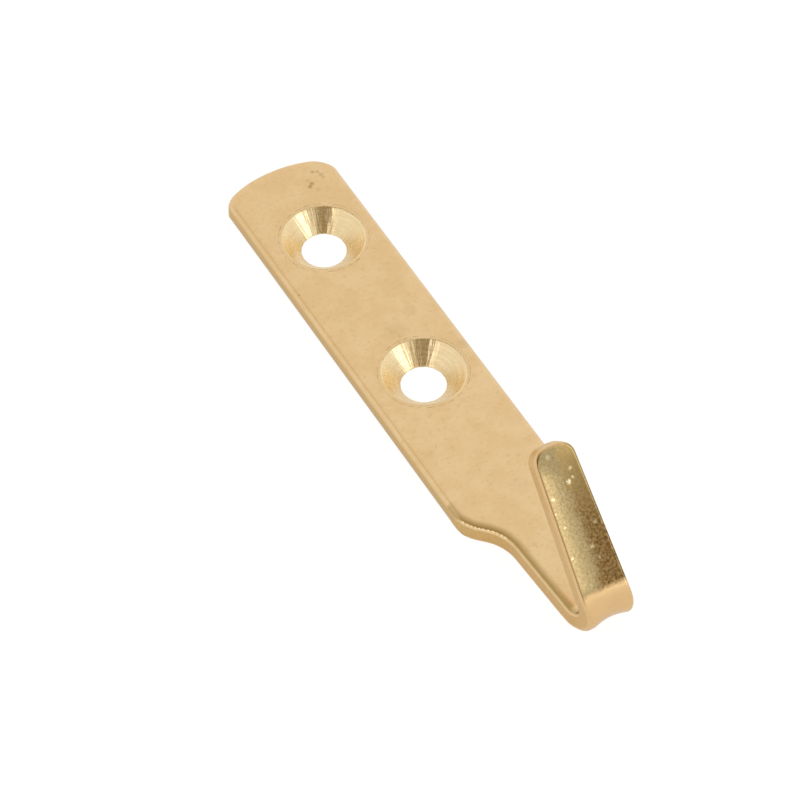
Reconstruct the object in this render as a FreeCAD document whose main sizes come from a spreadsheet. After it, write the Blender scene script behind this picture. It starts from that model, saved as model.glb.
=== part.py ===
import FreeCAD, Part
import math
import os
import Sketcher
from FreeCAD import Vector

# Picture hook: one flat strip of brass, drilled and countersunk for two wood
# screws, sheared to a narrow tongue at its lower end and folded up into a hook.
#
# Frame: the back face, which lies on the wall, is the plane Z = 0, and +Z points
# out of the wall. +Y runs along the strip to its upper end. The origin is midway
# between the two screw holes.

doc = FreeCAD.newDocument("PictureHook")

# Driving dimensions, in millimetres and degrees
SIZES = (
    ("strip_width", 12.2, "width of the flat strip"),
    ("strip_thickness", 2.0, "thickness of the flat strip"),
    ("strip_shift", 0.27, "the strip's middle stands this far left of the screw line"),
    ("edge_bulge", 0.537, "how far each long edge of the strip bulges out, face to face"),
    ("hole_spacing", 19.8, "distance between the two screw holes"),
    ("hole_width", 4.5, "diameter of each screw hole"),
    ("sink_width", 8.3, "diameter of each countersink at the front face"),
    ("sink_angle", 90.0, "included angle of each countersink"),
    ("rim_radius", 0.25, "rounding of each countersink's rim"),
    ("top_margin", 10.55, "from the upper hole to the crest of the upper end"),
    ("top_radius", 10.6, "radius of the upper end's arc"),
    ("top_corner", 2.4, "radius of the upper end's two corners"),
    ("shoulder_drop", 17.55, "from the lower hole to the shoulders' outward corners"),
    ("shoulder_slope", 45.0, "angle that the shoulders slope in at"),
    ("shoulder_outer", 2.6, "radius of the shoulders' outward corners"),
    ("shoulder_inner", 3.8, "radius of the shoulders' inward corners"),
    ("tongue_shift", 0.2, "the tongue's middle stands this far left of the screw line"),
    ("root_width", 5.75, "width of the tongue where it leaves the shoulders"),
    ("fold_width", 4.8, "width of the tongue where the fold starts"),
    ("fold_drop", 31.09, "from the lower hole to where the fold starts"),
    ("fold_radius", 1.3, "inner radius of the fold"),
    ("fold_angle", 135.0, "angle that the tongue is folded through"),
    ("fold_hollow", 0.34, "depth of the hollow across the fold's outer side"),
    ("fold_crown", 0.25, "height of the crown across the fold's inner side"),
    ("fold_spread", 0.2, "each side's outward bulge at the fold's inner side"),
    ("fold_sway", 0.25, "the tongue's lean to the right half way round the fold"),
    ("fold_draw", 0.32, "each side's drawing in at the fold's outer side"),
    ("nose_width", 4.84, "width of the tongue where the fold ends"),
    ("nose_length", 14.6, "length of the straight tongue past the fold"),
    ("tip_width", 4.1, "width that the tongue tapers to at its tip"),
    ("tip_corner", 1.5, "radius of the tip's two corners"),
    ("tip_radius", 5.0, "radius of the tip's end"),
    ("roll_radius", 0.35, "rounding that the shear rolls over the front edges"),
)

sheet = doc.addObject("Spreadsheet::Sheet", "Sizes")
for row, (alias, value, note) in enumerate(SIZES, start=1):
    sheet.set("A%d" % row, alias)
    sheet.set("B%d" % row, str(value))
    sheet.set("C%d" % row, note)
    sheet.setAlias("B%d" % row, alias)

# Sizes that follow from these, each with its formula
DERIVED = (
    ("edge_radius", "=(edge_bulge ^ 2 + (strip_thickness / 2) ^ 2) / (2 * edge_bulge)",
     "radius of the strip's two round edges"),
    ("fold_middle", "=fold_radius + strip_thickness / 2", "radius of the fold's middle layer"),
    ("fold_inner_length", "=fold_radius * fold_angle * pi / 180",
     "length of the fold's inner side"),
    ("flank_length", "=fold_drop - shoulder_drop"
     " - (strip_width - root_width) / 2 * tan(shoulder_slope * 1 deg)",
     "length of the tongue's flanks, from the shoulders to the fold"),
    ("flank_slope", "=(fold_width - root_width) / (2 * flank_length)",
     "how steeply each flank draws in, so a negative number"),
    ("nose_side", "=nose_length - tip_radius + sqrt(tip_radius ^ 2 - (tip_width / 2) ^ 2)",
     "length of the straight tongue's sides, up to the round tip"),
    ("nose_slope", "=(tip_width - nose_width) / (2 * nose_side)",
     "how steeply each side of the straight tongue draws in"),
)
for row, (alias, formula, note) in enumerate(DERIVED, start=len(SIZES) + 1):
    sheet.set("A%d" % row, alias)
    sheet.setAlias("B%d" % row, alias)
    sheet.set("B%d" % row, formula)
    sheet.set("C%d" % row, note)
doc.recompute()


def size(alias):
    return float(sheet.get(alias))


# Places worked out from the driving dimensions, as expressions on the sheet
HALF_SPACING = "Sizes.hole_spacing / 2"
TOP_CENTRE = HALF_SPACING + " + Sizes.top_margin - Sizes.top_radius"
SHOULDER_PLACE = HALF_SPACING + " + Sizes.shoulder_drop"
FOLD_PLACE = HALF_SPACING + " + Sizes.fold_drop"
FOLD_CENTRE = "Sizes.strip_thickness + Sizes.fold_radius"

# The same places as numbers, from which each sketch starts
half_thick = size("strip_thickness") / 2
hole_y = size("hole_spacing") / 2
top_centre_y = hole_y + size("top_margin") - size("top_radius")
shoulder_y = -hole_y - size("shoulder_drop")
fold_y = -hole_y - size("fold_drop")
fold_centre_z = size("strip_thickness") + size("fold_radius")
fold_middle_radius = size("fold_middle")

# Names for a line's or arc's points, for the two sides, and for the tests that pick edges
START, END, CENTRE = range(1, 4)
LEFT, RIGHT = -1, 1
CLOSE = 0.01
NEARLY_PARALLEL = 0.99

body = doc.addObject("PartDesign::Body", "PictureHook")
body.Label = "picture_hook"
body.Placement = FreeCAD.Placement()


def new_sketch(name, role):
    """A sketch on one of the body's own origin planes."""
    plane = [item for item in body.Origin.OriginFeatures if item.Role == role][0]
    sketch = body.newObject("Sketcher::SketchObject", name)
    sketch.AttachmentSupport = [(plane, "")]
    sketch.MapMode = "FlatFace"
    return sketch


def add_line(sketch, start, end):
    return sketch.addGeometry(Part.LineSegment(Vector(*start, 0), Vector(*end, 0)))


def add_arc(sketch, centre, radius, first, last):
    """An arc that runs anticlockwise between two angles in degrees."""
    circle = Part.Circle(Vector(*centre, 0), Vector(0, 0, 1), radius)
    return sketch.addGeometry(Part.ArcOfCircle(circle, math.radians(first), math.radians(last)))


def join(sketch, *ends):
    """Close a loop: each pair of neighbouring ends falls together."""
    for (one, one_end), (other, other_end) in zip(ends[0::2], ends[1::2]):
        sketch.addConstraint(Sketcher.Constraint("Coincident", one, one_end, other, other_end))


def drive(sketch, kind, where, value, expression):
    """A dimension of a sketch, tied to the sheet."""
    index = sketch.addConstraint(Sketcher.Constraint(kind, *where, value))
    sketch.setExpression("Constraints[%d]" % index, expression)


def place_x(sketch, geometry, point, value, expression):
    """Place a point from the sketch's origin, along its first axis."""
    drive(sketch, "DistanceX", (-1, 1, geometry, point), value, expression)


def place_y(sketch, geometry, point, value, expression):
    """Place a point from the sketch's origin, along its second axis."""
    drive(sketch, "DistanceY", (-1, 1, geometry, point), value, expression)


def offset_plane(sketch, base, axis, turn):
    """Move a sketch off its origin plane to a base point, and turn it about an axis."""
    sketch.AttachmentOffset = FreeCAD.Placement(Vector(), FreeCAD.Rotation(axis, 1))
    sketch.setExpression(".AttachmentOffset.Rotation.Angle", turn)
    for letter, expression in zip("xyz", base):
        sketch.setExpression(".AttachmentOffset.Base." + letter, expression)


def edges_where(feature, test):
    """The names of a feature's edges whose middle point passes a test."""
    names = []
    for number, edge in enumerate(feature.Shape.Edges, start=1):
        middle = edge.valueAt((edge.FirstParameter + edge.LastParameter) / 2)
        if test(edge, middle):
            names.append("Edge%d" % number)
    return names


def round_edges(name, feature, test, expression):
    """A fillet over the feature's edges that pass a test."""
    fillet = body.newObject("PartDesign::Fillet", name)
    fillet.Base = (feature, edges_where(feature, test))
    fillet.setExpression("Radius", expression)
    doc.recompute()
    return fillet


# Blank: the strip's outline down to where the fold starts, with square corners
def draw_blank():
    sketch = new_sketch("BlankOutline", "XY_Plane")
    strip_x = -size("strip_shift")
    tongue_x = -size("tongue_shift")
    half_strip = size("strip_width") / 2
    slope = math.tan(math.radians(size("shoulder_slope")))
    side_top = math.sqrt(size("top_radius") ** 2 - half_strip ** 2)
    spread = math.degrees(math.atan2(side_top, half_strip))
    crest = add_arc(sketch, (strip_x, top_centre_y), size("top_radius"), spread, 180 - spread)
    drive(sketch, "Radius", (crest,), size("top_radius"), "Sizes.top_radius")
    place_x(sketch, crest, CENTRE, strip_x, "-Sizes.strip_shift")
    place_y(sketch, crest, CENTRE, top_centre_y, TOP_CENTRE)
    lower_ends = []
    for side, crest_end in ((LEFT, END), (RIGHT, START)):
        word = "+" if side == RIGHT else "-"
        edge_x = strip_x + side * half_strip
        root_x = tongue_x + side * size("root_width") / 2
        fold_x = tongue_x + side * size("fold_width") / 2
        root_y = shoulder_y - abs(edge_x - root_x) * slope
        edge = add_line(sketch, (edge_x, top_centre_y + side_top), (edge_x, shoulder_y))
        shoulder = add_line(sketch, (edge_x, shoulder_y), (root_x, root_y))
        flank = add_line(sketch, (root_x, root_y), (fold_x, fold_y))
        join(sketch, (crest, crest_end), (edge, START), (edge, END), (shoulder, START))
        join(sketch, (shoulder, END), (flank, START))
        sketch.addConstraint(Sketcher.Constraint("Vertical", edge))
        strip_side = "-Sizes.strip_shift %s Sizes.strip_width / 2" % word
        root_side = "-Sizes.tongue_shift %s Sizes.root_width / 2" % word
        fold_side = "-Sizes.tongue_shift %s Sizes.fold_width / 2" % word
        place_x(sketch, edge, END, edge_x, strip_side)
        place_y(sketch, edge, END, shoulder_y, "-(%s)" % SHOULDER_PLACE)
        place_x(sketch, flank, START, root_x, root_side)
        root_place = "-(%s) - abs((%s) - (%s)) * tan(Sizes.shoulder_slope * 1 deg)"
        place_y(sketch, flank, START, root_y, root_place % (SHOULDER_PLACE, strip_side, root_side))
        place_x(sketch, flank, END, fold_x, fold_side)
        place_y(sketch, flank, END, fold_y, "-(%s)" % FOLD_PLACE)
        lower_ends.append((flank, END, fold_x))
    (left, left_end, left_x), (right, right_end, right_x) = lower_ends
    foot = add_line(sketch, (left_x, fold_y), (right_x, fold_y))
    join(sketch, (left, left_end), (foot, START), (foot, END), (right, right_end))
    return sketch


blank_outline = draw_blank()
doc.recompute()
blank = body.newObject("PartDesign::Pad", "Blank")
blank.Profile = blank_outline
blank.setExpression("Length", "Sizes.strip_thickness")
doc.recompute()


def upright(edge):
    return abs(edge.tangentAt(edge.FirstParameter).z) > NEARLY_PARALLEL


top_corners = round_edges(
    "TopCorners", blank, lambda edge, middle: upright(edge) and middle.y > 0, "Sizes.top_corner")
shoulder_corners = round_edges(
    "ShoulderCorners", top_corners,
    lambda edge, middle: upright(edge) and abs(middle.y - shoulder_y) < CLOSE,
    "Sizes.shoulder_outer")
shoulder_roots = round_edges(
    "ShoulderRoots", shoulder_corners,
    lambda edge, middle: upright(edge) and fold_y + CLOSE < middle.y < shoulder_y
    and abs(middle.x + size("tongue_shift")) < size("root_width") / 2 + CLOSE,
    "Sizes.shoulder_inner")


# Fold: the tongue's section swept round the bend. The metal stretches on the outer
# side and gathers on the inner side, so the section hollows outside, crowns inside
# and spreads. All this builds up and fades smoothly, and on the inner side, where the
# sheared edge is rolled, the sides meet the flanks and the nose without a kink.
FOLD_STEPS = 6


def fold_turn(share):
    return size("fold_angle") * share


def fold_weight(share):
    """How much of the section's change is there: none at the ends, all half way."""
    rise = 4 * share * (1 - share)
    return rise ** 2 * (7 - 4 * rise) / 3


def fold_half_width(share):
    """Half the mid-layer's width at a share of the fold: the number and its expression."""
    late = share ** 2 * (3 - 2 * share)
    leaving = share * (1 - share) ** 2
    arriving = share ** 2 * (share - 1)
    number = (size("fold_width") * (1 - late) + size("nose_width") * late) / 2
    number += size("fold_inner_length") * size("flank_slope") * leaving
    number += size("fold_inner_length") * size("nose_slope") * arriving
    expression = "(Sizes.fold_width * %.9f + Sizes.nose_width * %.9f) / 2" % (1 - late, late)
    expression += " + Sizes.fold_inner_length * Sizes.flank_slope * %.9f" % leaving
    expression += " + Sizes.fold_inner_length * Sizes.nose_slope * (%.9f)" % arriving
    return number, "(%s)" % expression


def draw_fold_path():
    sketch = new_sketch("FoldPath", "YZ_Plane")
    path = add_arc(sketch, (fold_y, fold_centre_z), fold_middle_radius, 270 - fold_turn(1), 270)
    place_x(sketch, path, CENTRE, fold_y, "-(%s)" % FOLD_PLACE)
    place_y(sketch, path, CENTRE, fold_centre_z, FOLD_CENTRE)
    drive(sketch, "Radius", (path,), fold_middle_radius, "Sizes.fold_middle")
    sketch.addConstraint(Sketcher.Constraint("Vertical", path, END, path, CENTRE))
    angle = math.radians(size("fold_angle"))
    drive(sketch, "Angle", (path,), angle, "Sizes.fold_angle * 1 deg")
    return sketch


def section_edge(sketch, half_width, face, rise):
    """One face of the section, from its right end to its left: a line, or an arc that rises."""
    if rise == 0:
        return add_line(sketch, (half_width, face), (-half_width, face))
    radius = (half_width ** 2 + rise ** 2) / (2 * rise)
    turn = math.degrees(math.asin(1 - rise / radius))
    return add_arc(sketch, (0, face + rise - radius), radius, turn, 180 - turn)


def draw_fold_section(number, share):
    """The tongue's section at a share of the fold's angle, square to the path."""
    sketch = new_sketch("FoldSection%d" % number, "XZ_Plane")
    weight = fold_weight(share)
    turned = "(Sizes.fold_angle * %.9f * 1 deg)" % share
    base_z = "%s + Sizes.fold_middle * sin%s" % (FOLD_PLACE, turned)
    base_y = "%s - Sizes.fold_middle * cos%s" % (FOLD_CENTRE, turned)
    base_x = "%.9f * Sizes.fold_sway - Sizes.tongue_shift" % weight
    offset_plane(sketch, (base_x, base_y, base_z), Vector(-1, 0, 0), turned)
    half_width, width = fold_half_width(share)
    faces = []
    for face_side, spread_name, spread_sign, rise_name in (
            (-1, "fold_draw", -1, "fold_hollow"), (1, "fold_spread", 1, "fold_crown")):
        half = half_width + spread_sign * weight * size(spread_name)
        half_expression = "%s + %.9f * Sizes.%s" % (width, spread_sign * weight, spread_name)
        rise = weight * size(rise_name)
        face = face_side * half_thick
        edge = section_edge(sketch, half, face, rise)
        face_expression = "%d * Sizes.strip_thickness / 2" % face_side
        place_x(sketch, edge, START, half, half_expression)
        place_y(sketch, edge, START, face, face_expression)
        place_x(sketch, edge, END, -half, "-(%s)" % half_expression)
        place_y(sketch, edge, END, face, face_expression)
        if rise > 0:
            rise_expression = "(%.9f * Sizes.%s)" % (weight, rise_name)
            radius_expression = "((%s) ^ 2 + %s ^ 2) / (2 * %s)"
            values = (half_expression, rise_expression, rise_expression)
            radius = (half ** 2 + rise ** 2) / (2 * rise)
            drive(sketch, "Radius", (edge,), radius, radius_expression % values)
        faces.append((edge, half, face))
    (outer, outer_half, outer_face), (inner, inner_half, inner_face) = faces
    right = add_line(sketch, (outer_half, outer_face), (inner_half, inner_face))
    left = add_line(sketch, (-inner_half, inner_face), (-outer_half, outer_face))
    join(sketch, (outer, START), (right, START), (right, END), (inner, START))
    join(sketch, (inner, END), (left, START), (left, END), (outer, END))
    return sketch


fold_path = draw_fold_path()
fold_sections = []
for number in range(FOLD_STEPS + 1):
    fold_sections.append(draw_fold_section(number, number / FOLD_STEPS))
doc.recompute()
fold = body.newObject("PartDesign::AdditivePipe", "Fold")
fold.Profile = fold_sections[0]
fold.Spine = (fold_path, ["Edge1"])
fold.Sections = [(section, [""]) for section in fold_sections[1:]]
fold.Transformation = "Multisection"
doc.recompute()


# Nose: the straight end of the tongue, tapering to its rounded tip
def draw_nose():
    sketch = new_sketch("NoseOutline", "XY_Plane")
    turned = "(Sizes.fold_angle * 1 deg)"
    base_y = "-(%s) - Sizes.fold_middle * sin%s" % (FOLD_PLACE, turned)
    base_z = "%s - Sizes.fold_middle * cos%s" % (FOLD_CENTRE, turned)
    upward = "(180 - Sizes.fold_angle) * 1 deg"
    offset_plane(sketch, ("-Sizes.tongue_shift", base_y, base_z), Vector(1, 0, 0), upward)
    half_nose = size("nose_width") / 2
    half_tip = size("tip_width") / 2
    centre_y = size("nose_length") - size("tip_radius")
    end_y = size("nose_side")
    turn = math.degrees(math.acos(half_tip / size("tip_radius")))
    foot = add_line(sketch, (-half_nose, 0), (half_nose, 0))
    right = add_line(sketch, (half_nose, 0), (half_tip, end_y))
    tip = add_arc(sketch, (0, centre_y), size("tip_radius"), turn, 180 - turn)
    left = add_line(sketch, (-half_tip, end_y), (-half_nose, 0))
    join(sketch, (foot, END), (right, START), (right, END), (tip, START))
    join(sketch, (tip, END), (left, START), (left, END), (foot, START))
    place_x(sketch, foot, START, -half_nose, "-Sizes.nose_width / 2")
    place_y(sketch, foot, START, 0, "0")
    place_x(sketch, foot, END, half_nose, "Sizes.nose_width / 2")
    place_y(sketch, foot, END, 0, "0")
    drive(sketch, "Radius", (tip,), size("tip_radius"), "Sizes.tip_radius")
    place_x(sketch, tip, CENTRE, 0, "0")
    place_y(sketch, tip, CENTRE, centre_y, "Sizes.nose_length - Sizes.tip_radius")
    place_x(sketch, tip, START, half_tip, "Sizes.tip_width / 2")
    place_x(sketch, tip, END, -half_tip, "-Sizes.tip_width / 2")
    return sketch


nose_outline = draw_nose()
doc.recompute()
nose = body.newObject("PartDesign::Pad", "Nose")
nose.Profile = nose_outline
nose.setExpression("Length", "Sizes.strip_thickness")
nose.SideType = "Symmetric"
doc.recompute()

along = math.radians(180 - size("fold_angle"))
nose_direction = Vector(0, math.cos(along), math.sin(along))
inward = Vector(0, math.sin(along), -math.cos(along))
fold_end = Vector(0, fold_y, fold_centre_z) - inward * fold_middle_radius


def past_fold(point):
    return (point - fold_end).dot(nose_direction)


def crosses_nose(edge):
    return abs(edge.tangentAt(edge.FirstParameter).dot(inward)) > NEARLY_PARALLEL


tip_corners = round_edges(
    "TipCorners", nose,
    lambda edge, middle: crosses_nose(edge) and past_fold(middle) > size("nose_length") / 2,
    "Sizes.tip_corner")


# Roll: the shear rounds every front edge, from the upper end round to the tip
def off_front(point):
    """How far a point lies from the face that the shear came in from."""
    off_strip = abs(point.z - size("strip_thickness"))
    off_nose = abs((point - fold_end).dot(inward) - half_thick)
    fold_reach = math.hypot(point.y - fold_y, point.z - fold_centre_z)
    off_fold = abs(fold_reach - size("fold_radius"))
    return min(off_strip, off_nose, off_fold)


def is_front_rim(edge, middle):
    """True of the front face's outer edges, and not of the seams across the fold."""
    seam = abs(middle.y - fold_y) < CLOSE or abs(past_fold(middle)) < CLOSE
    crosses = abs(edge.tangentAt(edge.FirstParameter).x) > NEARLY_PARALLEL
    points = [vertex.Point for vertex in edge.Vertexes] + [middle]
    return max(off_front(point) for point in points) < CLOSE and not (seam and crosses)


rolled = round_edges("RolledEdges", tip_corners, is_front_rim, "Sizes.roll_radius")


# Holes: two screw holes, countersunk from the front
def draw_hole_centres():
    sketch = new_sketch("HoleCentres", "XY_Plane")
    sketch.setExpression(".AttachmentOffset.Base.z", "Sizes.strip_thickness")
    for side, expression in ((1, HALF_SPACING), (-1, "-Sizes.hole_spacing / 2")):
        circle = Part.Circle(Vector(0, side * hole_y, 0), Vector(0, 0, 1), size("hole_width") / 2)
        hole = sketch.addGeometry(circle)
        drive(sketch, "Diameter", (hole,), size("hole_width"), "Sizes.hole_width")
        place_x(sketch, hole, CENTRE, 0, "0")
        place_y(sketch, hole, CENTRE, side * hole_y, expression)
    return sketch


hole_centres = draw_hole_centres()
doc.recompute()
holes = body.newObject("PartDesign::Hole", "ScrewHoles")
holes.Profile = hole_centres
doc.recompute()
holes.ThreadType = "None"
holes.DepthType = "ThroughAll"
holes.HoleCutType = "Countersink"
holes.HoleCutCustomValues = True
holes.setExpression("Diameter", "Sizes.hole_width")
holes.setExpression("HoleCutDiameter", "Sizes.sink_width")
holes.setExpression("HoleCutCountersinkAngle", "Sizes.sink_angle")
doc.recompute()


def is_sink_rim(edge, middle):
    round_edge = isinstance(edge.Curve, Part.Circle)
    return round_edge and abs(edge.Curve.Radius - size("sink_width") / 2) < CLOSE


sink_rims = round_edges("SinkRims", holes, is_sink_rim, "Sizes.rim_radius")


# Stock edges: the bar was rolled flat between rollers that left its two edges round
def draw_stock_edges():
    sketch = new_sketch("StockEdges", "XZ_Plane")
    radius = size("edge_radius")
    bulge = size("edge_bulge")
    thickness = size("strip_thickness")
    spread = math.degrees(math.atan2(half_thick, radius - bulge))
    for side in (LEFT, RIGHT):
        word = "+" if side == RIGHT else "-"
        edge_x = -size("strip_shift") + side * size("strip_width") / 2
        centre_x = edge_x - side * radius
        crease_x = edge_x - side * bulge
        clear_x = edge_x + side * half_thick
        middle = 0 if side == RIGHT else 180
        edge = add_arc(sketch, (centre_x, half_thick), radius, middle - spread, middle + spread)
        above, below = (END, START) if side == RIGHT else (START, END)
        top = add_line(sketch, (crease_x, thickness), (clear_x, thickness))
        outer = add_line(sketch, (clear_x, thickness), (clear_x, 0))
        foot = add_line(sketch, (clear_x, 0), (crease_x, 0))
        join(sketch, (edge, above), (top, START), (top, END), (outer, START))
        join(sketch, (outer, END), (foot, START), (foot, END), (edge, below))
        sketch.addConstraint(Sketcher.Constraint("Vertical", outer))
        edge_place = "-Sizes.strip_shift %s Sizes.strip_width / 2" % word
        away = "%s %s Sizes.strip_thickness / 2" % (edge_place, word)
        back = "%s - (%s Sizes.edge_radius)" % (edge_place, word)
        drive(sketch, "Radius", (edge,), radius, "Sizes.edge_radius")
        place_x(sketch, edge, CENTRE, centre_x, back)
        place_y(sketch, edge, CENTRE, half_thick, "Sizes.strip_thickness / 2")
        place_y(sketch, top, START, thickness, "Sizes.strip_thickness")
        place_x(sketch, top, END, clear_x, away)
        place_y(sketch, top, END, thickness, "Sizes.strip_thickness")
        place_y(sketch, foot, START, 0, "0")
        place_y(sketch, foot, END, 0, "0")
    return sketch


stock_edges = draw_stock_edges()
doc.recompute()
stock_cut = body.newObject("PartDesign::Pocket", "StockEdgeCut")
stock_cut.Profile = stock_edges
stock_cut.Type = "ThroughAll"
stock_cut.SideType = "Symmetric"
doc.recompute()

for item in doc.Objects:
    if "Invalid" in item.State or "Error" in item.State:
        raise RuntimeError("%s failed: %s" % (item.Name, item.State))
parts = [item for item in doc.Objects if item.TypeId == "PartDesign::Body"]
for item in parts:
    if item.Shape.isNull() or not item.Shape.isValid():
        raise RuntimeError("%s has no valid shape" % item.Label)
os.makedirs("parts", exist_ok=True)
for item in parts:
    item.Shape.exportStep("parts/%s.step" % item.Label)
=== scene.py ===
import math
import random

import bmesh
import bpy
import numpy as np
from mathutils import Matrix, Vector
from mathutils.geometry import delaunay_2d_cdt


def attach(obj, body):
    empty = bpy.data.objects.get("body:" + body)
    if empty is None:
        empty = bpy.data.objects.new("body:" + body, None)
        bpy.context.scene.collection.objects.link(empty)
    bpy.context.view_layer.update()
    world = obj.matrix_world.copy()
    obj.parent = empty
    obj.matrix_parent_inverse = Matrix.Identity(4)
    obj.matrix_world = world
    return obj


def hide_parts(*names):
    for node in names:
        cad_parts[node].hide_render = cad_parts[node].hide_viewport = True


# Picture hook of stamped brass strip, in metres, in the row frame: the back face on
# Z = 0, +Y along the strip to its upper end, the origin midway between the holes.

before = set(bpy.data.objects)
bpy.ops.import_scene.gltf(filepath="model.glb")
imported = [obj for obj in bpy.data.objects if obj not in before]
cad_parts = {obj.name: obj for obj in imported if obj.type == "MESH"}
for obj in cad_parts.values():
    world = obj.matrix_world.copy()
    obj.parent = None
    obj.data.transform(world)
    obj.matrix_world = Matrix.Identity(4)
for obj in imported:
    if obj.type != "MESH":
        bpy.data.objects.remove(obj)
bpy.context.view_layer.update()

MM = 0.001


def put_camera():
    """The photograph's viewpoint: looking down at the strip from its lower left."""
    azimuth = math.radians(-29.702)
    elevation = math.radians(50.775)
    distance = 395.293 * MM
    target = Vector((-2.927, -10.418, 0.0)) * MM
    back = Vector((
        math.sin(azimuth) * math.cos(elevation),
        -math.cos(azimuth) * math.cos(elevation),
        math.sin(elevation),
    ))
    right = Vector((math.cos(azimuth), math.sin(azimuth), 0.0))
    up = back.cross(right)
    data = bpy.data.cameras.new("Camera")
    data.sensor_width = 36.0
    data.lens = 184.79
    data.clip_start = 0.01
    data.clip_end = 20.0
    camera = bpy.data.objects.new("Camera", data)
    bpy.context.scene.collection.objects.link(camera)
    axes = Matrix((right, up, back)).transposed()
    camera.matrix_world = Matrix.Translation(target + back * distance) @ axes.to_4x4()
    bpy.context.scene.camera = camera


put_camera()

# The strip's shape in millimetres: the solid's, fitted more closely to the photograph.
# It is drawn flat, as x across, s along its middle layer and h up from its back face,
# and then bent.
THICK = 2.0
STRIP_X, STRIP_HALF = -0.27, 6.1
EDGE_RADIUS, CREASE_RADIUS = 1.1, 0.1
ROLL_DROP, ROLL_WIDTH, NIP_RADIUS = 0.19, 0.95, 0.26
BACK_RADIUS, NOSE_EDGE = 0.16, 0.30
HOLE_S, BORE_RADIUS, SINK_RADIUS, RIM_RADIUS = 9.9, 2.25, 4.15, 0.25
TOP_S, TOP_RADIUS, TOP_CORNERS = 7.45, 13.0, {-1: 2.3, 1: 3.3}
SHOULDER_S, SHOULDER_OUTER, SHOULDER_INNER = -27.52, 4.4, 4.8
TONGUE_X, ROOT_HALF, FOLD_HALF, NOSE_HALF, TIP_HALF = -0.2, 3.02, 2.5, 2.47, 2.09
FLANK_LENGTH = 10.315
FOLD_S, FOLD_RADIUS, FOLD_ANGLE = -40.99, 1.3, math.radians(135.0)
NOSE_LENGTH, TIP_RADIUS, TIP_CORNER = 14.57, 5.0, 1.5
HOLLOW, CROWN, SPREAD, DRAW, SWAY = 0.34, 0.25, 0.16, 0.10, 0.28
NOSE_HOLLOW, NOSE_LEAN = 0.10, 0.05

# The upper left corner, where the roll is deepest, and how far that reaches
CORNER_X, CORNER_S, CORNER_REACH, CORNER_EXTRA = -5.4, 18.2, 1.6, 1.5

# The left shoulder's beads: height, distance in from the edge, width and pace along it
BEAD_HEIGHT, BEAD_INSET, BEAD_WIDTH, BEAD_PACE = 0.05, 0.12, 0.07, 0.85

# Four millimetres below the shoulders
BAR_END = SHOULDER_S - 4

MIDDLE_RADIUS = FOLD_RADIUS + THICK / 2
FOLD_LENGTH = MIDDLE_RADIUS * FOLD_ANGLE
NOSE_S = FOLD_S - FOLD_LENGTH
TIP_S = NOSE_S - NOSE_LENGTH + TIP_RADIUS
NOSE_SIDE = NOSE_LENGTH - TIP_RADIUS + math.sqrt(TIP_RADIUS ** 2 - TIP_HALF ** 2)

rng = random.Random(7)


def smooth(share):
    """An even start and end for a share that runs from 0 to 1."""
    return share * share * (3 - 2 * share)


def fold_share(s):
    """How far round the fold a place is, from 0 at its start to 1 at its end."""
    return min(max((FOLD_S - s) / FOLD_LENGTH, 0.0), 1.0)


def fold_weight(share):
    """How much of the fold's change of section is there: all half way round."""
    rise = 4 * share * (1 - share)
    return rise ** 2 * (7 - 4 * rise) / 3


def fold_half(share):
    """Half the tongue's width at a share of the fold, from the flanks into the nose."""
    late = smooth(share)
    inner = FOLD_RADIUS * FOLD_ANGLE
    flank_slope = (FOLD_HALF - ROOT_HALF) / FLANK_LENGTH
    nose_slope = (TIP_HALF - NOSE_HALF) / NOSE_SIDE
    half = FOLD_HALF * (1 - late) + NOSE_HALF * late
    half += inner * flank_slope * share * (1 - share) ** 2
    return half + inner * nose_slope * share ** 2 * (share - 1)


def tongue_half(s):
    """Half the tongue's width, from where the fold starts to the tip."""
    if s < NOSE_S:
        return NOSE_HALF + (TIP_HALF - NOSE_HALF) * (NOSE_S - s) / NOSE_SIDE
    return fold_half(fold_share(s))


# Outline: samples of one side, from the tip's middle up to the upper end's middle, each
# with its inward direction. u runs outward from the screw line on that side.
def line_samples(start, end, spacing):
    """A straight stretch, without its last point."""
    start, end = Vector(start), Vector(end)
    along = (end - start).normalized()
    inward = Vector((-along.y, along.x))
    count = max(1, math.ceil((end - start).length / spacing))
    return [(start.lerp(end, i / count), inward) for i in range(count)]


def arc_samples(centre, radius, first, last, spacing, turn=1):
    """An arc run through from one angle to another; turn is -1 where it is concave."""
    count = max(2, math.ceil(abs(last - first) * radius / spacing))
    samples = []
    for i in range(count):
        angle = first + (last - first) * i / count
        ray = Vector((math.cos(angle), math.sin(angle)))
        samples.append((Vector(centre) + ray * radius, -ray * turn))
    return samples


def corner(before, vertex, after, radius, spacing):
    """The arc that rounds a corner: its first point, its samples and its last point."""
    arrive = (vertex - before).normalized()
    leave = (after - vertex).normalized()
    bend = math.atan2(arrive.x * leave.y - arrive.y * leave.x, arrive.dot(leave))
    turn = 1 if bend > 0 else -1
    reach = radius * math.tan(abs(bend) / 2)
    start = vertex - arrive * reach
    centre = start + Vector((-arrive.y, arrive.x)) * radius * turn
    ray = start - centre
    first = math.atan2(ray.y, ray.x)
    samples = arc_samples(centre, radius, first, first + bend, spacing, turn)
    return start, samples, vertex + leave * reach


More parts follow.
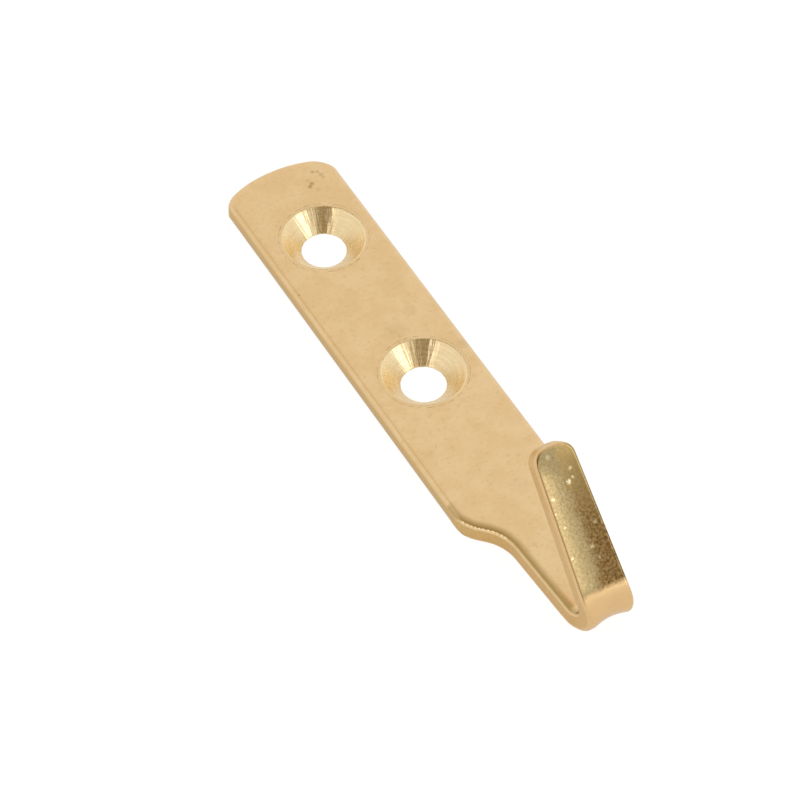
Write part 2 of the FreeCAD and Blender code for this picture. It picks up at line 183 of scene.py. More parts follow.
def side_samples(side):
    """One side of the flat outline; side is -1 for the left one and 1 for the right one."""
    edge_u = side * STRIP_X + STRIP_HALF
    tongue_u = side * TONGUE_X
    nose_foot = Vector((tongue_u + NOSE_HALF, NOSE_S))
    nose_end = Vector((tongue_u + TIP_HALF, NOSE_S - NOSE_SIDE))
    up = (nose_foot - nose_end).normalized()
    inward = Vector((-up.y, up.x))
    tip = Vector((tongue_u, TIP_S))
    base = nose_end + inward * TIP_CORNER - tip
    along = base.dot(up)
    reach = TIP_RADIUS - TIP_CORNER
    centre = tip + base - up * (along + math.sqrt(along ** 2 - base.length_squared + reach ** 2))
    ray = centre - tip
    turned = math.atan2(ray.y, ray.x)
    samples = arc_samples(tip, TIP_RADIUS, -math.pi / 2, turned, 0.12)
    outward = math.atan2(-inward.y, -inward.x)
    samples += arc_samples(centre, TIP_CORNER, turned, outward, 0.08)
    samples += line_samples(centre - inward * TIP_CORNER, nose_foot, 0.16)
    steps = 48
    for i in range(steps):
        share = 1 - i / steps
        half = fold_half(share)
        slope = (fold_half(share - 0.01) - half) / (0.01 * FOLD_LENGTH)
        point = Vector((tongue_u + half, FOLD_S - share * FOLD_LENGTH))
        samples.append((point, Vector((-1.0, slope)).normalized()))
    fold_end = Vector((tongue_u + FOLD_HALF, FOLD_S))
    root_u = tongue_u + ROOT_HALF
    root = Vector((root_u, SHOULDER_S - (edge_u - root_u)))
    shoulder = Vector((edge_u, SHOULDER_S))
    top_u = side * STRIP_X
    top_corner = TOP_CORNERS[side]
    rise = math.sqrt((TOP_RADIUS - top_corner) ** 2 - (STRIP_HALF - top_corner) ** 2)
    top_centre = Vector((edge_u - top_corner, TOP_S + rise))
    edge_end = Vector((edge_u, top_centre.y))
    root_start, root_arc, root_end = corner(fold_end, root, shoulder, SHOULDER_INNER, 0.12)
    start, shoulder_arc, end = corner(root, shoulder, edge_end, SHOULDER_OUTER, 0.12)
    samples += line_samples(fold_end, root_start, 0.16) + root_arc
    samples += line_samples(root_end, start, 0.12) + shoulder_arc
    samples += line_samples(end, edge_end, 0.45)
    ray = top_centre - Vector((top_u, TOP_S))
    turned = math.atan2(ray.y, ray.x)
    samples += arc_samples(top_centre, top_corner, 0, turned, 0.1)
    samples += arc_samples((top_u, TOP_S), TOP_RADIUS, turned, math.pi / 2, 0.2)
    samples.append((Vector((top_u, TOP_S + TOP_RADIUS)), Vector((0.0, -1.0))))
    return [(side * point.x, point.y, side * inward.x, inward.y) for point, inward in samples]


right_side = side_samples(1)
left_side = side_samples(-1)
outline = right_side[:-1] + left_side[:0:-1]


def roll_height(inset, x, s):
    """Height of the front face's edge, which the shear rolled over, the left corner most."""
    nip = max(0.0, NIP_RADIUS - inset)
    height = THICK - NIP_RADIUS + math.sqrt(NIP_RADIUS ** 2 - nip ** 2)
    apart = (x - CORNER_X) ** 2 + (s - CORNER_S) ** 2
    drop = ROLL_DROP * (1 + CORNER_EXTRA * math.exp(-apart / CORNER_REACH ** 2))
    return height - drop * max(0.0, 1 - inset / ROLL_WIDTH) ** 2.5


def back_height(inset, s):
    """Height of the back face's edge, a little rounded, and on the tongue a good deal."""
    near = min(max((FOLD_S + 1.5 - s) / 2.5, 0.0), 1.0)
    radius = BACK_RADIUS + (NOSE_EDGE - BACK_RADIUS) * smooth(near)
    if inset >= radius:
        return 0.0
    return radius - math.sqrt(radius ** 2 - (radius - inset) ** 2)


def stock_height(x, s):
    """Height of the bar's rolled front face, falling away at its two round edges."""
    if s < BAR_END:
        return THICK
    inset = max(0.0, STRIP_HALF - abs(x - STRIP_X))
    half = THICK / 2
    rise = half - CREASE_RADIUS
    middle = EDGE_RADIUS - math.sqrt((EDGE_RADIUS - CREASE_RADIUS) ** 2 - rise ** 2)
    if inset >= middle:
        return THICK
    touch = EDGE_RADIUS - (EDGE_RADIUS - middle) * EDGE_RADIUS / (EDGE_RADIUS - CREASE_RADIUS)
    if inset >= touch:
        return half + rise + math.sqrt(CREASE_RADIUS ** 2 - (middle - inset) ** 2)
    return half + math.sqrt(EDGE_RADIUS ** 2 - (EDGE_RADIUS - inset) ** 2)


# How far in from the outline each ring of the two faces' borders runs
INSETS = (0.0, 0.002, 0.008, 0.018, 0.032, 0.05, 0.072, 0.098, 0.128, 0.162, 0.2, 0.24,
          0.28, 0.32, 0.37, 0.42, 0.47, 0.52, 0.57, 0.6, 0.625, 0.65, 0.68, 0.73, 0.79, 0.86,
          0.96)
WALL_STEPS = 8
HOLE_STEPS = 168

verts, finish_and_painted_light, faces = [], [], []


def add_vertex(x, s, h, kind):
    """A vertex of the flat strip; kind gives its shares of wall, sink and rolled edge, the last of
    which also sets painted shade in the brass's colour and, below 0, a bead's painted highlight.
    """
    verts.append((x, s, h))
    finish_and_painted_light.append(kind)
    return len(verts) - 1


FACE, WALL, SINK = (0.0, 0.0, 0.0), (1.0, 0.0, 0.0), (0.0, 1.0, 0.0)


def skin(lower, upper):
    """Quads between two closed rings of vertices."""
    count = len(lower)
    for i in range(count):
        j = (i + 1) % count
        faces.append((lower[i], lower[j], upper[j], upper[i]))


def is_left_shoulder(x, s):
    """Whether a place of the outline is on the left shoulder."""
    return x < -3.4 and s < SHOULDER_S + 0.3


# The shear left a row of beads along the left shoulder's upper edge; they catch light as bumps,
# and their bright colour is a painted highlight
beads = [math.sin(i * BEAD_PACE + 0.8 * rng.random()) ** 2 * (0.5 + 0.5 * rng.random())
         for i in range(len(outline))]

front_rings, back_rings = [], []
for inset in INSETS:
    front, back = [], []
    for (x, s, nx, ns), bead_and_painted_glint in zip(outline, beads):
        px, ps = x + nx * inset, s + ns * inset
        stock = stock_height(px, ps)
        height = min(roll_height(inset, x, s), stock)
        burr = 0.0
        if is_left_shoulder(x, s):
            burr = bead_and_painted_glint * math.exp(-((inset - BEAD_INSET) / BEAD_WIDTH) ** 2)
        # The rolled share darkens the brass's colour there as painted shade; the beads take it
        # below 0 for a painted highlight
        rolled = max(0.0, 1 - inset / ROLL_WIDTH) if s < SHOULDER_S + 2.5 else 0.0
        rolled *= min(1.0, max(0.0, (inset - 0.04) / 0.16))
        rolled = max(0.0, rolled - burr) - burr
        kind = WALL if inset < 0.005 and stock > 1.5 else (0.0, 0.0, rolled)
        front.append(add_vertex(px, ps, height + BEAD_HEIGHT * burr, kind))
        low = max(back_height(inset, s), THICK - stock)
        back.append(add_vertex(px, ps, min(low, height), FACE))
    front_rings.append(front)
    back_rings.append(back)
for lower, upper in zip(front_rings, front_rings[1:]):
    skin(lower, upper)
for lower, upper in zip(back_rings, back_rings[1:]):
    skin(upper, lower)
wall = [back_rings[0]]
for step in range(1, WALL_STEPS):
    ring = []
    for i, (x, s, nx, ns) in enumerate(outline):
        low = verts[back_rings[0][i]][2]
        high = verts[front_rings[0][i]][2]
        ring.append(add_vertex(x, s, low + (high - low) * step / WALL_STEPS, WALL))
    wall.append(ring)
wall.append(front_rings[0])
for lower, upper in zip(wall, wall[1:]):
    skin(lower, upper)

# Countersinks: rings from the face over the rounded rim, down the cone and the bore
SINK_STEPS, RIM_STEPS = 15, 5
SINK_BORDER = 4.5
sink_profile = [(SINK_BORDER, THICK), (4.42, THICK), (4.34, THICK)]
rim_r = SINK_RADIUS + RIM_RADIUS * math.tan(math.radians(22.5))
for step in range(RIM_STEPS + 1):
    angle = math.radians(90 + 45 * step / RIM_STEPS)
    sink_profile.append((rim_r + RIM_RADIUS * math.cos(angle),
                         THICK - RIM_RADIUS + RIM_RADIUS * math.sin(angle)))
cone_r, cone_h = sink_profile[-1]
for step in range(1, SINK_STEPS + 1):
    drop = (cone_r - BORE_RADIUS) * step / SINK_STEPS
    sink_profile.append((cone_r - drop, cone_h - drop))
sink_profile += [(BORE_RADIUS, 0.05), (BORE_RADIUS, 0.0)]
front_holes, back_holes = [], []
for hole_s in (HOLE_S, -HOLE_S):
    rings = []
    for radius, height in sink_profile:
        kind = SINK if radius < 4.2 else FACE
        ring = []
        for i in range(HOLE_STEPS):
            angle = 2 * math.pi * i / HOLE_STEPS
            x, s = radius * math.cos(angle), hole_s + radius * math.sin(angle)
            ring.append(add_vertex(x, s, height, kind))
        rings.append(ring)
    for upper, lower in zip(rings, rings[1:]):
        skin(upper, lower)
    front_holes.append(rings[0])
    back_holes.append(rings[-1])


def fill_face(ring, holes, hole_radius, height, kind):
    """Triangles over a face, inside its ring and round its holes, on an even grid."""
    loops = [ring] + holes
    border = [index for loop in loops for index in loop]
    edges, start = [], 0
    for loop in loops:
        count = len(loop)
        edges += [(start + i, start + (i + 1) % count) for i in range(count)]
        start += count
    places = np.array([verts[index][:2] for index in border])
    shape = places[:len(ring)]
    grid = []
    s = shape[:, 1].min()
    row = 0
    while s < shape[:, 1].max():
        bent = s < FOLD_S + 1.0
        step = 0.2 if bent else 0.45
        x = -6.4 + (row % 2) * step / 2
        while x < 6.0:
            grid.append((x, s))
            x += step
        s += 0.13 if bent else 0.4
        row += 1
    grid = np.array(grid)
    ax, ay = shape[:, 0], shape[:, 1]
    bx, by = np.roll(ax, -1), np.roll(ay, -1)
    gx, gy = grid[:, :1], grid[:, 1:]
    crosses = (ay > gy) != (by > gy)
    slope = (bx - ax) / np.where(by == ay, 1.0, by - ay)
    inside = (crosses & (gx < slope * (gy - ay) + ax)).sum(1) % 2 == 1
    away = np.sqrt(((grid[:, None, :] - shape[None, :, :]) ** 2).sum(2).min(1))
    keep = inside & (away > 0.13)
    for hole_s in (HOLE_S, -HOLE_S):
        keep &= np.hypot(grid[:, 0], grid[:, 1] - hole_s) > hole_radius + 0.15
    grid = grid[keep]
    points = [Vector(place) for place in places] + [Vector(place) for place in grid]
    corners, _, triangles, origin, _, _ = delaunay_2d_cdt(points, edges, [], 1, 1e-7)
    index_of = []
    for corner_point, sources in zip(corners, origin):
        source = sources[0]
        if source < len(border):
            index_of.append(border[source])
        else:
            index_of.append(add_vertex(corner_point.x, corner_point.y, height, kind))
    for triangle in triangles:
        middle = sum((corners[i] for i in triangle), Vector((0.0, 0.0))) / 3
        if min(math.hypot(middle.x, middle.y - s) for s in (HOLE_S, -HOLE_S)) > hole_radius - 0.02:
            faces.append(tuple(index_of[i] for i in triangle))


fill_face(front_rings[-1], front_holes, SINK_BORDER, THICK, FACE)
fill_face(back_rings[-1], back_holes, BORE_RADIUS, 0.0, FACE)

# Bend: the middle layer's path, with the fold's curvature eased in and out
EASE = 0.3
PATH_STEP = 0.005
path_v = np.arange(-EASE, FOLD_LENGTH + EASE + PATH_STEP, PATH_STEP)
ramp_in = np.clip((path_v + EASE) / (2 * EASE), 0, 1)
ramp_out = np.clip((FOLD_LENGTH + EASE - path_v) / (2 * EASE), 0, 1)
path_angle = np.cumsum(np.minimum(ramp_in, ramp_out)) * PATH_STEP / MIDDLE_RADIUS
path_angle *= FOLD_ANGLE / path_angle[-1]
path_y = FOLD_S + EASE - np.cumsum(np.cos(path_angle)) * PATH_STEP
path_z = THICK / 2 + np.cumsum(np.sin(path_angle)) * PATH_STEP


def bend(x, s, h):
    """From the flat strip to the folded one, in millimetres."""
    share = fold_share(s)
    weight = fold_weight(share)
    tongue = s < FOLD_S + 1.0
    if tongue:
        u = (x - TONGUE_X) / tongue_half(min(s, FOLD_S))
        arch = max(0.0, 1 - min(1.0, abs(u)) ** 2)
        shifted = max(0.0, 1 - ((u - 0.15) / 0.85) ** 2) ** 1.3
        arch += (shifted - arch) * weight
        up = h / THICK
        past = max(0.0, NOSE_S - s)
        start = min(past / 1.5, 1.0)
        end = min(max((NOSE_LENGTH - 0.7 - past) / 2.5, 0.0), 1.0)
        shallow = NOSE_HOLLOW * smooth(start) * smooth(end)
        h += arch * ((HOLLOW * weight + shallow) * (1 - up) + CROWN * weight * up)
        grow = weight * (SPREAD * up - DRAW * (1 - up)) / fold_half(share)
        x = TONGUE_X + (x - TONGUE_X) * (1 + grow) + weight * SWAY
        x += smooth(share) * NOSE_LEAN
    v = FOLD_S - s
    if v <= -EASE:
        return x, s, h
    angle = float(np.interp(v, path_v, path_angle))
    y = float(np.interp(v, path_v, path_y))
    z = float(np.interp(v, path_v, path_z))
    past = max(0.0, v - path_v[-1])
    y -= past * math.cos(angle)
    z += past * math.sin(angle)
    lift = h - THICK / 2
    return x, y + lift * math.sin(angle), z + lift * math.cos(angle)


def make_hook():
    """The bent mesh as one piece, with the flat place of each vertex and its shares of finish and
    painted light.
    """
    mesh = bpy.data.meshes.new("StampedHook")
    bent = [Vector(bend(*place)) * MM for place in verts]
    mesh.from_pydata(bent, [], faces)
    for name, values in (("flat", verts), ("finish_and_painted_light", finish_and_painted_light)):
        layer = mesh.attributes.new(name, "FLOAT_VECTOR", "POINT")
        layer.data.foreach_set("vector", [number for value in values for number in value])
    work = bmesh.new()
    work.from_mesh(mesh)
    bmesh.ops.remove_doubles(work, verts=work.verts, dist=2e-7)
    bmesh.ops.recalc_face_normals(work, faces=work.faces)
    work.to_mesh(mesh)
    work.free()
    mesh.shade_smooth()
    mesh.set_sharp_from_angle(angle=math.radians(38))
    piece = bpy.data.objects.new("StampedHook", mesh)
    bpy.context.scene.collection.objects.link(piece)
    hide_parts("picture_hook")
    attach(piece, "root")
    return piece


hook = make_hook()


class Tree:
    """Short ways to make and link the nodes of one node tree."""

    def __init__(self, tree):
        self.tree = tree
        tree.nodes.clear()

    def add(self, kind, **settings):
        node = self.tree.nodes.new(kind)
        for name, value in settings.items():
            setattr(node, name, value)
        return node

    def put(self, socket, value):
        """Link a socket to another, or give it a plain value."""
        if isinstance(value, bpy.types.NodeSocket):
            self.tree.links.new(value, socket)
        elif value is not None:
            socket.default_value = value

    def math(self, operation, a, b=None, c=None, clamp=False):
        node = self.add("ShaderNodeMath", operation=operation, use_clamp=clamp)
        for socket, value in zip(node.inputs, (a, b, c)):
            self.put(socket, value)
        return node.outputs[0]

    def vector(self, operation, a, b=None, scale=None):
        node = self.add("ShaderNodeVectorMath", operation=operation)
        self.put(node.inputs[0], a)
        self.put(node.inputs[1], b)
        if scale is not None:
            self.put(node.inputs["Scale"], scale)
        output = "Value" if operation in ("LENGTH", "DOT_PRODUCT", "DISTANCE") else "Vector"
        return node.outputs[output]

    def step(self, value, low, high, bottom=0.0, top=1.0):
        """A smooth step from bottom at low to top at high."""
        node = self.add("ShaderNodeMapRange", interpolation_type="SMOOTHSTEP")
        for name, number in (("Value", value), ("From Min", low), ("From Max", high),
                             ("To Min", bottom), ("To Max", top)):
            self.put(node.inputs[name], number)
        return node.outputs["Result"]

    def mix(self, factor, a, b):
        node = self.add("ShaderNodeMix", data_type="RGBA")
        self.put(node.inputs[0], factor)
        self.put(node.inputs[6], a)
        self.put(node.inputs[7], b)
        return node.outputs[2]

    def noise(self, place, scale, detail=2.0, roughness=0.5, distortion=0.0):
        node = self.add("ShaderNodeTexNoise")
        self.put(node.inputs["Vector"], place)
        self.put(node.inputs["Scale"], scale)
        self.put(node.inputs["Detail"], detail)
        self.put(node.inputs["Roughness"], roughness)
        self.put(node.inputs["Distortion"], distortion)
        return node.outputs["Fac"]

    def stretched(self, place, turn, scale):
        """A place turned about Z and scaled by a different factor along each axis."""
        node = self.add("ShaderNodeMapping")
        self.put(node.inputs["Vector"], place)
        self.put(node.inputs["Rotation"], (0.0, 0.0, math.radians(turn)))
        self.put(node.inputs["Scale"], scale)
        return node.outputs[0]

    def apart(self, vector):
        node = self.add("ShaderNodeSeparateXYZ")
        self.put(node.inputs[0], vector)
        return node.outputs[0], node.outputs[1], node.outputs[2]


WHITE = (1.0, 1.0, 1.0, 1.0)

# The direction in which the photograph's camera stood, a fixed place in the studio
CAMERA_SIDE = (-0.3133, -0.5493, 0.7747)


def make_world():
    """A white tent with a dim opening above and a dark round one where the camera stood."""
    world = bpy.data.worlds.new("Studio")
    bpy.context.scene.world = world
    world.use_nodes = True
    t = Tree(world.node_tree)
    direction = t.add("ShaderNodeTexCoord").outputs["Generated"]
    opening = Vector((-0.55, -0.15, 0.82)).normalized()
    facing = t.vector("DOT_PRODUCT", direction, tuple(opening))
    x, _, _ = t.apart(direction)
    ramp = t.add("ShaderNodeMapRange")
    t.put(ramp.inputs["Value"], facing)
    t.put(ramp.inputs["From Min"], 0.40)
    t.put(ramp.inputs["From Max"], 0.96)
    dim = t.math("MULTIPLY", ramp.outputs["Result"], t.step(x, -0.64, -0.44))
    color = t.mix(dim, WHITE, (0.58, 0.49, 0.28, 1.0))
    toward = t.vector("DOT_PRODUCT", direction, CAMERA_SIDE)
    lens = t.step(toward, math.cos(math.radians(24)), math.cos(math.radians(17)))
    color = t.mix(lens, color, (0.20, 0.13, 0.055, 1.0))
    path = t.add("ShaderNodeLightPath")
    shown = t.mix(path.outputs["Is Camera Ray"], color, WHITE)
    background = t.add("ShaderNodeBackground")
    t.put(background.inputs["Color"], shown)
    t.put(background.inputs["Strength"], 1.0)
    output = t.add("ShaderNodeOutputWorld")
    t.put(output.inputs["Surface"], background.outputs[0])


make_world()


def put_lamp(name, direction, distance, width, radiance):
    """A square softbox that faces the object, as bright as its radiance says."""
    data = bpy.data.lights.new(name, "AREA")
    data.size = width
    data.energy = radiance * math.pi * width ** 2
    lamp = bpy.data.objects.new(name, data)
    bpy.context.scene.collection.objects.link(lamp)
    direction = Vector(direction).normalized()
    middle = Vector((0.0, -0.012, 0.0))
    turn = direction.to_track_quat("Z", "Y").to_matrix().to_4x4()
    lamp.matrix_world = Matrix.Translation(middle + direction * distance) @ turn


put_lamp("SoftboxRight", (0.54, -0.67, 0.49), 0.6, 0.21, 2.1)
put_lamp("SoftboxLeft", (-0.695, -0.391, 0.604), 0.6, 0.09, 2.4)


def make_floor():
    """White paper just under the back face, which keeps the hook's shadow."""
    half = 1.5
    mesh = bpy.data.meshes.new("Floor")
    corners = [(-half, -half, 0.0), (half, -half, 0.0), (half, half, 0.0), (-half, half, 0.0)]
    mesh.from_pydata(corners, [], [(0, 1, 2, 3)])
    floor = bpy.data.objects.new("Floor", mesh)
    floor.location = (0.0, 0.0, -0.02 * MM)
    bpy.context.scene.collection.objects.link(floor)
    material = bpy.data.materials.new("FloorWhite")
    material.use_nodes = True
    t = Tree(material.node_tree)
    path = t.add("ShaderNodeLightPath")
    seen = t.math("MAXIMUM", path.outputs["Is Camera Ray"], path.outputs["Is Glossy Ray"])
    seen = t.math("MAXIMUM", seen, path.outputs["Is Transmission Ray"])
    diffuse = t.add("ShaderNodeBsdfDiffuse")
    matt = t.mix(path.outputs["Is Camera Ray"], (0.55, 0.55, 0.55, 1.0), (0.16, 0.16, 0.16, 1.0))
    t.put(diffuse.inputs["Color"], matt)
    glow = t.add("ShaderNodeEmission")
    t.put(glow.inputs["Color"], WHITE)
    shine = t.step(path.outputs["Is Camera Ray"], 0.0, 1.0, 0.5, 0.92)
    t.put(glow.inputs["Strength"], t.math("MULTIPLY", seen, shine))
    both = t.add("ShaderNodeAddShader")
    t.put(both.inputs[0], diffuse.outputs[0])
    t.put(both.inputs[1], glow.outputs[0])
    output = t.add("ShaderNodeOutputMaterial")
    t.put(output.inputs["Surface"], both.outputs[0])
    mesh.materials.append(material)


make_floor()


# Stains and small marks on the front face: x, s, radius in millimetres, and how dark
STAINS = (
    (3.22, 18.11, 0.24, 0.5), (3.69, 17.92, 0.24, 0.45), (3.83, 17.4, 0.28, 0.4),
    (3.85, 17.0, 0.24, 0.3), (2.29, 17.33, 0.2, 0.35), (2.42, 16.78, 0.3, 0.65),
    (2.1, 16.48, 0.3, 0.7), (2.63, 15.77, 0.3, 0.2),
    (-5.74, 4.55, 0.16, 0.5), (-2.99, -8.4, 0.18, 0.45), (0.2, -4.0, 1.1, 0.12),
    (0.1, -6.1, 0.9, 0.1), (2.7, -2.5, 0.8, 0.1), (5.1, -8.7, 0.8, 0.14),
    (-1.4, -33.0, 0.35, 0.12), (1.0, -26.5, 1.2, 0.08), (-4.6, -19.0, 0.6, 0.1),
)


# Painted glints on the tongue's outer side: x, way past the fold, radius and strength
PAINTED_GLINTS = (
    (0.27, 10.75, 0.30, 0.9), (0.75, 11.0, 0.2, 0.6), (0.83, 11.89, 0.24, 0.5),
    (-1.78, 9.85, 0.2, 0.5), (-2.1, 8.5, 0.14, 0.4), (-1.65, 7.03, 0.16, 0.4),
    (-2.05, 4.14, 0.16, 0.5), (-0.85, 13.6, 0.3, 0.25), (0.2, 4.4, 0.26, 0.35),
    (1.3, 6.4, 0.24, 0.35), (0.5, 3.2, 0.18, 0.3),
)


def make_brass():
    """Brass that was tumbled bright, cut yellow in the sinks and stained by handling, with painted
    shade on its rolled and drawn edges and on the tongue's outer side, and painted highlights.
    """
    material = bpy.data.materials.new("Brass")
    material.use_nodes = True
    t = Tree(material.node_tree)
    place = t.add("ShaderNodeAttribute", attribute_name="flat").outputs["Vector"]
    marks = t.add("ShaderNodeAttribute", attribute_name="finish_and_painted_light").outputs["Vector"]
    is_wall, is_sink, is_rolled = t.apart(marks)
    x, s, h = t.apart(place)

    # The bright face: faint clouds, a fine grain of specks and hairline scratches
    cloudy = t.noise(place, 0.4, 3.0, 0.55)
    fine = t.noise(place, 2.4, 4.0, 0.62)
    grain = t.noise(place, 9.0, 2.0, 0.5)
    downward = t.step(s, 20.0, -40.0, -0.25, 0.25)
    pale = t.math("ADD", t.step(cloudy, 0.3, 0.7), downward, clamp=True)
    color = t.mix(pale, (0.765, 0.530, 0.270, 1.0), (0.812, 0.580, 0.316, 1.0))
    color = t.mix(t.step(fine, 0.54, 0.74, 0.0, 0.4), color, (0.60, 0.41, 0.19, 1.0))
    color = t.mix(t.step(grain, 0.6, 0.8, 0.0, 0.25), color, (0.52, 0.34, 0.15, 1.0))
    scratches = None
    for turn, seed in ((28.0, 3.1), (-41.0, 9.7), (82.0, 5.3)):
        lines = t.stretched(t.vector("ADD", place, (seed, seed, 0.0)), turn, (0.3, 11.0, 1.0))
        line = t.step(t.noise(lines, 1.0, 2.0, 0.5), 0.66, 0.74)
        scratches = line if scratches is None else t.math("MAXIMUM", scratches, line)
    color = t.mix(t.math("MULTIPLY", scratches, 0.22), color, (0.50, 0.33, 0.15, 1.0))
    wobble = t.math("MULTIPLY_ADD", t.noise(place, 3.2, 3.0, 0.6), 0.9, -0.45)
    stained = 0.0
    on_face = t.step(h, 1.2, 1.7)
    for stain_x, stain_s, radius, depth in STAINS:
        away = t.vector("DISTANCE", place, (stain_x, stain_s, THICK))
        near = t.step(t.math("ADD", away, t.math("MULTIPLY", wobble, 1.4 * radius)),
                      1.25 * radius, 0.35 * radius, 0.0, depth)
        stained = t.math("MAXIMUM", stained, near)
    stained = t.math("MULTIPLY", stained, on_face)
    color = t.mix(stained, color, (0.36, 0.24, 0.10, 1.0))

    # The rolled edge is darker, which is painted shade, and the beads, marked by a share below 0,
    # are bright, which is a painted highlight
    # Painted shade: the roll's colour darkened where it would reflect a dark surround
    roll_painted_shade = t.math("MULTIPLY", is_rolled, 0.88, clamp=True)
    color = t.mix(roll_painted_shade, color, (0.34, 0.23, 0.065, 1.0))
    # Painted highlight: the beads' colour is pale cream
    bead_and_painted_glint = t.math("MULTIPLY", is_rolled, -1.0, clamp=True)
    color = t.mix(bead_and_painted_glint, color, (0.99, 0.85, 0.53, 1.0))

    # The tongue's outer side: its skin was stretched; it is painted brown, darker on the right,
    # which is painted shade for the dark reflection there, with painted glints
    past = t.math("SUBTRACT", NOSE_S, s)
    across = t.math("DIVIDE", t.math("SUBTRACT", x, TONGUE_X), 2.3)
    drift = t.math("MULTIPLY_ADD", t.noise(place, 0.8, 2.0, 0.5), 0.5, -0.25)
    skin_h = t.math("MULTIPLY_ADD", t.step(across, -0.6, 0.4), -0.5, h)
    begun = t.step(t.math("ADD", past, drift), 0.1, 0.7)
    outer = t.math("MULTIPLY", begun, t.step(skin_h, 0.12, 0.0))
    # The skin stops short of the tongue's left edge and of its tip
    taper = (NOSE_HALF - TIP_HALF) / NOSE_SIDE
    left_edge = t.math("MULTIPLY_ADD", past, taper, TONGUE_X - NOSE_HALF)
    outer = t.math("MULTIPLY", outer, t.step(t.math("SUBTRACT", x, left_edge), 0.1, 0.4))
    in_plane = t.vector("MULTIPLY", place, (1.0, 1.0, 0.0))
    from_tip = t.vector("DISTANCE", in_plane, (TONGUE_X, TIP_S, 0.0))
    before_tip = t.math("SUBTRACT", TIP_RADIUS, from_tip)
    rim = t.math("MAXIMUM", t.step(before_tip, 0.1, 0.4), t.step(s, TIP_S, TIP_S + 0.5))
    outer = t.math("MULTIPLY", outer, rim)
    folded = t.math("MULTIPLY", t.step(past, -6.5, -4.5), t.step(h, 0.9, 0.3))
    color = t.mix(folded, color, t.mix(0.5, color, (0.67, 0.42, 0.18, 1.0)))
    peel = t.noise(place, 3.4, 4.0, 0.68)
    rightward = t.math("ADD", t.math("ADD", across, drift), t.step(past, 3.5, 0.5, 0.0, 0.25))
    brown = t.step(rightward, -0.12, 0.3)
    spotted = t.step(peel, 0.36, 0.62)
    # dull and deep are painted shade: the outer side's colour darkened in place of a dark
    # reflection
    dull = t.mix(spotted, (0.298, 0.22, 0.094, 1.0), (0.372, 0.28, 0.143, 1.0))
    deep = t.mix(spotted, (0.136, 0.07, 0.02, 1.0), (0.30, 0.192, 0.072, 1.0))
    deep = t.mix(t.step(past, 5.0, 14.0), deep, (0.38, 0.265, 0.105, 1.0))
    # Painted highlights: bright cream glints on the tongue's outer side
    painted_glints = t.step(t.noise(place, 2.6, 5.0, 0.7, 0.6), 0.72, 0.78)
    jag = t.math("MULTIPLY_ADD", t.noise(place, 7.0, 3.0, 0.7), 1.6, -0.8)
    for glint_x, along, radius, depth in PAINTED_GLINTS:
        centre = (glint_x, NOSE_S - along, 0.0)
        away = t.vector("DISTANCE", t.vector("MULTIPLY", place, (1.0, 1.0, 0.3)), centre)
        near = t.math("ADD", away, t.math("MULTIPLY", jag, 2.2 * radius))
        painted_glints = t.math("MAXIMUM", painted_glints, t.step(near, 0.9 * radius, 0.4 * radius, 0.0, depth))
    painted_shade_and_glints = t.mix(painted_glints, t.mix(brown, dull, deep), (0.92, 0.80, 0.50, 1.0))
    color = t.mix(outer, color, painted_shade_and_glints)

    # The bar's drawn edges are darker, which is painted shade; the sheared sides are duller; the
    # sinks are freshly cut
    beside = t.math("ABSOLUTE", t.math("SUBTRACT", x, STRIP_X))
    painted_edge_shade = t.math("MULTIPLY", t.step(beside, 5.44, 5.5), t.step(h, 1.8, 1.45))
    color = t.mix(t.math("MULTIPLY", painted_edge_shade, t.step(s, BAR_END, SHOULDER_S)),
                  color, (0.60, 0.41, 0.195, 1.0))
    torn = t.noise(t.vector("MULTIPLY", place, (6.0, 6.0, 1.2)), 1.0, 3.0, 0.6)
    cut = t.mix(torn, (0.60, 0.385, 0.14, 1.0), (0.78, 0.53, 0.235, 1.0))
    color = t.mix(is_wall, color, cut)
    hole_s = t.math("MULTIPLY", t.math("SIGN", s), HOLE_S)
    arm_s = t.math("SUBTRACT", s, hole_s)
    squares = t.math("ADD", t.math("MULTIPLY", x, x), t.math("MULTIPLY", arm_s, arm_s))
    radius = t.math("SQRT", squares)
    angle = t.math("ARCTAN2", arm_s, x)
    turned = t.add("ShaderNodeCombineXYZ")
    t.put(turned.inputs[0], t.math("MULTIPLY", radius, 5.0))
    t.put(turned.inputs[1], t.math("MULTIPLY", angle, 0.9))
    t.put(turned.inputs[2], hole_s)
    rings = t.noise(turned.outputs[0], 1.0, 3.0, 0.65)
    chatter = t.add("ShaderNodeCombineXYZ")
    t.put(chatter.inputs[0], t.math("MULTIPLY", radius, 0.5))
    t.put(chatter.inputs[1], t.math("MULTIPLY", angle, 9.0))
    t.put(chatter.inputs[2], hole_s)
    ribs = t.noise(chatter.outputs[0], 1.0, 2.0, 0.5)
    fresh = t.mix(t.step(rings, 0.35, 0.7), (0.85, 0.66, 0.37, 1.0), (0.93, 0.75, 0.46, 1.0))
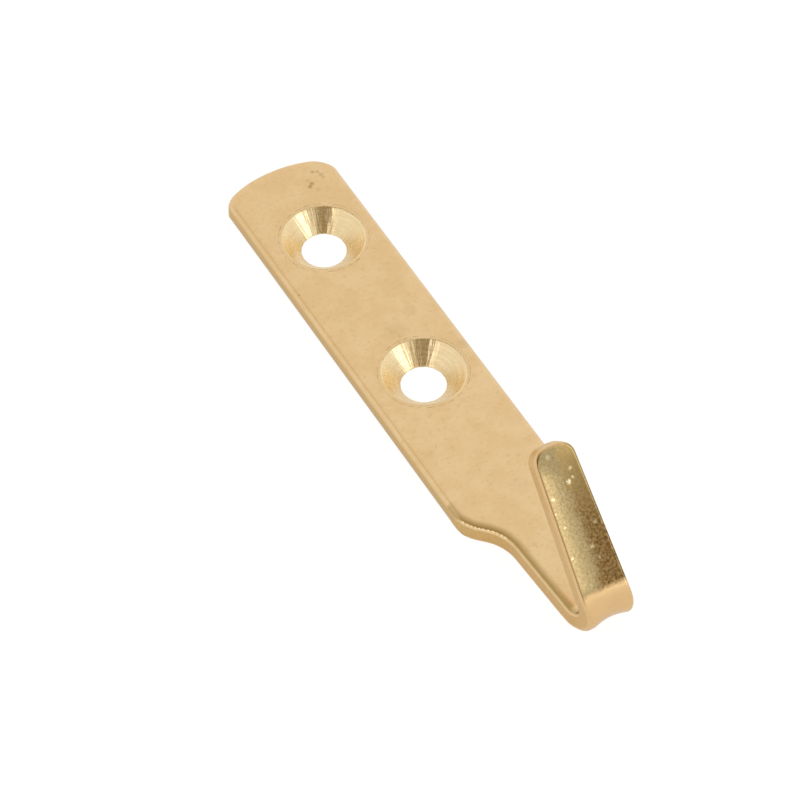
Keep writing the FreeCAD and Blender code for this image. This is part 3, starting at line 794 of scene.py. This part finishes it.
    color = t.mix(is_sink, color, fresh)

    # Relief in millimetres: orange peel, tool marks, shear tears, scratches and a fine skin
    relief = t.math("MULTIPLY", fine, 0.0010)
    relief = t.math("MULTIPLY_ADD", scratches, -0.0006, relief)
    peeled = t.math("MULTIPLY", peel, t.step(rightward, -0.6, 0.3, 0.005, 0.014))
    peeled = t.math("MULTIPLY", peeled, outer)
    relief = t.math("ADD", relief, peeled)
    tool = t.math("ADD", t.math("MULTIPLY", rings, 0.014), t.math("MULTIPLY", ribs, 0.05))
    relief = t.math("MULTIPLY_ADD", tool, is_sink, relief)
    relief = t.math("MULTIPLY_ADD", t.math("MULTIPLY", torn, 0.03), is_wall, relief)
    bump = t.add("ShaderNodeBump")
    t.put(bump.inputs["Strength"], 1.0)
    t.put(bump.inputs["Distance"], MM)
    t.put(bump.inputs["Height"], relief)

    roughness = t.step(fine, 0.2, 0.8, 0.16, 0.24)
    roughness = t.math("MULTIPLY_ADD", is_sink, 0.08, roughness)
    roughness = t.math("MULTIPLY_ADD", is_wall, 0.14, roughness)
    shader = t.add("ShaderNodeBsdfPrincipled")
    t.put(shader.inputs["Base Color"], color)
    t.put(shader.inputs["Metallic"], 1.0)
    t.put(shader.inputs["Roughness"], roughness)
    t.put(shader.inputs["Normal"], bump.outputs[0])
    # Turned grooves run round the sinks, so these spread light up and down their slope
    slope = t.add("ShaderNodeCombineXYZ")
    t.put(slope.inputs[0], t.math("DIVIDE", x, radius))
    t.put(slope.inputs[1], t.math("DIVIDE", arm_s, radius))
    t.put(slope.inputs[2], 1.0)
    t.put(shader.inputs["Anisotropic"], 0.8)
    t.put(shader.inputs["Tangent"], t.mix(is_sink, (0.3, 0.2, 0.93, 1.0), slope.outputs[0]))
    output = t.add("ShaderNodeOutputMaterial")
    t.put(output.inputs["Surface"], shader.outputs[0])
    return material


brass = make_brass()
hook.data.materials.append(brass)

bpy.context.scene.view_settings.view_transform = "Standard"


def corners(box):
    return [[float(number) for number in corner] for corner in box]
